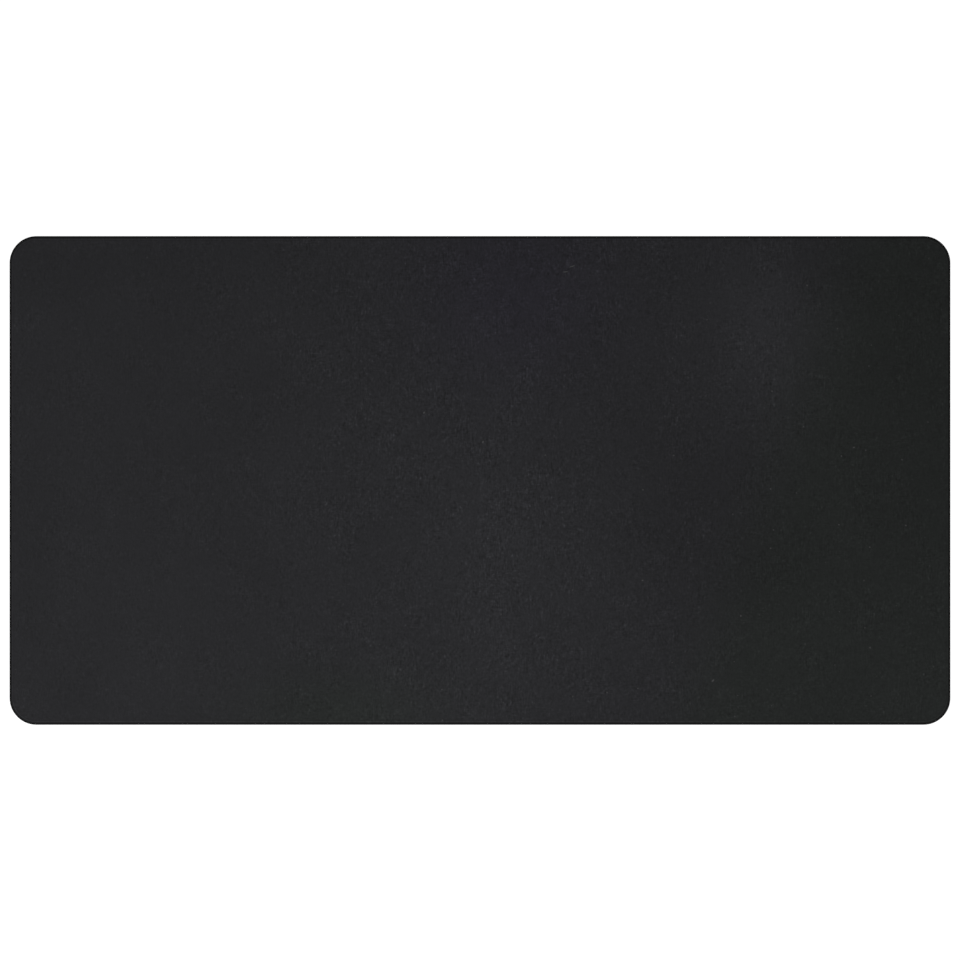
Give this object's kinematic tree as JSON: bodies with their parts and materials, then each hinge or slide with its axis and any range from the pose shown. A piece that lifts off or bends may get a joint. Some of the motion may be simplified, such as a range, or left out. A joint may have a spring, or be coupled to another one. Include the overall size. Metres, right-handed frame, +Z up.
{
  "type": "desk mat",
  "caption": "Large flat desk mat: a thin rectangle with rounded corners, fine woven cloth bonded onto a foam rubber base that grips the desk.",
  "frame": {"origin": "middle of the face that rests on the desk", "axes": "+X along the mat's width, +Y along its depth away from the person at the desk, +Z up out of the cloth"},
  "size_m": [0.77, 0.4, 0.003],
  "materials": {
    "foam_rubber": "matte",
    "bonding_film": "satin",
    "woven_cloth": "matte"
  },
  "bodies": {
    "root": {"rubber_base": "foam_rubber", "bond_film": "bonding_film", "top_cloth": "woven_cloth"}
  },
  "joints": []
}
